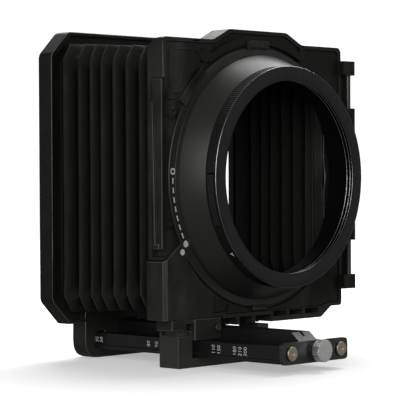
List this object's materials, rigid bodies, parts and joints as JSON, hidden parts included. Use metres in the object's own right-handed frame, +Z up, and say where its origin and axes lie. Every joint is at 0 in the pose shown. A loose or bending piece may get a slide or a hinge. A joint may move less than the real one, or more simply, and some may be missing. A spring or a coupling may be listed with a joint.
{
  "type": "bellows lens shade",
  "caption": "Black bellows lens shade: hinged lens plate with a conical clamp ring and adapter, pleated bellows, and a square mouth frame on a sliding rail.",
  "frame": {"origin": "under the middle of the whole shade's box, on the surface it stands on", "axes": "+Z up, +Y along the optical axis from the lens to the mouth, +X to the right seen from the lens"},
  "size_m": [0.131, 0.1274, 0.146],
  "materials": {
    "body_plastic": "fine moulded texture, satin",
    "door_plastic": "fine moulded texture, satin",
    "mouth_plastic": "fine moulded texture, matt",
    "carriage_plastic": "satin, slightly rubbed",
    "ring_satin": "satin, fine turned texture, white scale",
    "black_anodised": "black anodised, satin",
    "rail_anodised": "black anodised, engraved numbers in white",
    "clamp_steel": "matt black paint",
    "bellows_cloth": "pleated matt black bellows cloth",
    "dark_steel": "dark plated, brushed",
    "brass": "nickel-plated brass, worn",
    "bright_steel": "bright, turned"
  },
  "bodies": {
    "standard": {"rear_frame": "body_plastic", "corner_block": "body_plastic", "hinge_pin": "dark_steel", "neck_bracket": "body_plastic", "neck_screw": "bright_steel", "slider_carriage": "carriage_plastic", "lock_spring": "bright_steel", "filter_spring_left": "bright_steel", "filter_spring_right": "bright_steel", "bellows_rear_clamp": "clamp_steel"},
    "side_latch": {"latch_bar": "body_plastic"},
    "slider_lock": {"lock_button": "carriage_plastic"},
    "door": {"lens_plate": "door_plastic", "ring_tab_top": "door_plastic", "ring_tab_bottom": "door_plastic", "ring_tab_left": "door_plastic", "door_screw_upper": "dark_steel", "door_screw_lower": "dark_steel"},
    "clamp": {"clamp_ring": "ring_satin"},
    "grip": {"snap_ring": "bright_steel"},
    "adapter": {"adapter_ring": "black_anodised", "catch_spring": "bright_steel"},
    "catch": {"release_catch": "black_anodised"},
    "fold_1": {"bellows_fold_1": "bellows_cloth"},
    "fold_2": {"bellows_fold_2": "bellows_cloth"},
    "fold_3": {"bellows_fold_3": "bellows_cloth"},
    "fold_4": {"bellows_fold_4": "bellows_cloth"},
    "fold_5": {"bellows_fold_5": "bellows_cloth"},
    "fold_6": {"bellows_fold_6": "bellows_cloth"},
    "front": {"mouth_frame": "mouth_plastic", "bellows_front_clamp": "clamp_steel", "rail": "rail_anodised", "end_plate": "dark_steel", "end_screw_left": "brass", "end_screw_right": "brass", "foot_screw_left": "dark_steel", "foot_screw_right": "dark_steel"},
    "end_knob": {"thumb_screw": "bright_steel"}
  },
  "joints": [
    {"name": "door_hinge", "type": "hinge", "parent": "standard", "child": "door", "pos_m": [0.0623, -0.0096, 0.081], "axis": [0, 0, 1], "range_deg": [0, 100]},
    {"name": "clamp_turn", "type": "hinge", "parent": "door", "child": "clamp", "pos_m": [0, -0.0098, 0.081], "axis": [0, -1, 0], "range_deg": [0, 36]},
    {"name": "adapter_spin", "type": "hinge", "parent": "door", "child": "grip", "pos_m": [0, -0.0098, 0.081], "axis": [0, -1, 0], "continuous": true},
    {"name": "adapter_pull", "type": "slide", "parent": "grip", "child": "adapter", "axis": [0, -1, 0], "range_m": [0, 0.02]},
    {"name": "catch_press", "type": "slide", "parent": "adapter", "child": "catch", "axis": [0.9799, 0, 0.1994], "range_m": [0, 0.0009], "stiffness_N_per_m": 600, "springref_m": -0.0005},
    {"name": "latch_slide", "type": "slide", "parent": "standard", "child": "side_latch", "axis": [0, 0, -1], "range_m": [0, 0.0025], "stiffness_N_per_m": 300, "springref_m": -0.0005},
    {"name": "lock_press", "type": "slide", "parent": "standard", "child": "slider_lock", "axis": [0, 0, -1], "range_m": [0, 0.0012], "stiffness_N_per_m": 600, "springref_m": -0.0005},
    {"name": "bellows_link_1", "type": "slide", "parent": "standard", "child": "fold_1", "axis": [0, 1, 0], "range_m": [-0.005, 0.0063]},
    {"name": "bellows_link_2", "type": "slide", "parent": "fold_1", "child": "fold_2", "axis": [0, 1, 0], "range_m": [-0.005, 0.0063]},
    {"name": "bellows_link_3", "type": "slide", "parent": "fold_2", "child": "fold_3", "axis": [0, 1, 0], "range_m": [-0.005, 0.0063]},
    {"name": "bellows_link_4", "type": "slide", "parent": "fold_3", "child": "fold_4", "axis": [0, 1, 0], "range_m": [-0.005, 0.0063]},
    {"name": "bellows_link_5", "type": "slide", "parent": "fold_4", "child": "fold_5", "axis": [0, 1, 0], "range_m": [-0.005, 0.0063]},
    {"name": "bellows_link_6", "type": "slide", "parent": "fold_5", "child": "fold_6", "axis": [0, 1, 0], "range_m": [-0.005, 0.0063]},
    {"name": "bellows_link_7", "type": "slide", "parent": "fold_6", "child": "front", "axis": [0, 1, 0], "range_m": [-0.005, 0.0063]},
    {"name": "knob_turn", "type": "hinge", "parent": "front", "child": "end_knob", "pos_m": [-0.0194, -0.0603, 0.009], "axis": [0, -1, 0], "continuous": true}
  ],
  "couplings": [
    {"joint": "bellows_link_2", "follows": "bellows_link_1", "ratio": 1},
    {"joint": "bellows_link_3", "follows": "bellows_link_1", "ratio": 1},
    {"joint": "bellows_link_4", "follows": "bellows_link_1", "ratio": 1},
    {"joint": "bellows_link_5", "follows": "bellows_link_1", "ratio": 1},
    {"joint": "bellows_link_6", "follows": "bellows_link_1", "ratio": 1},
    {"joint": "bellows_link_7", "follows": "bellows_link_1", "ratio": 1}
  ]
}
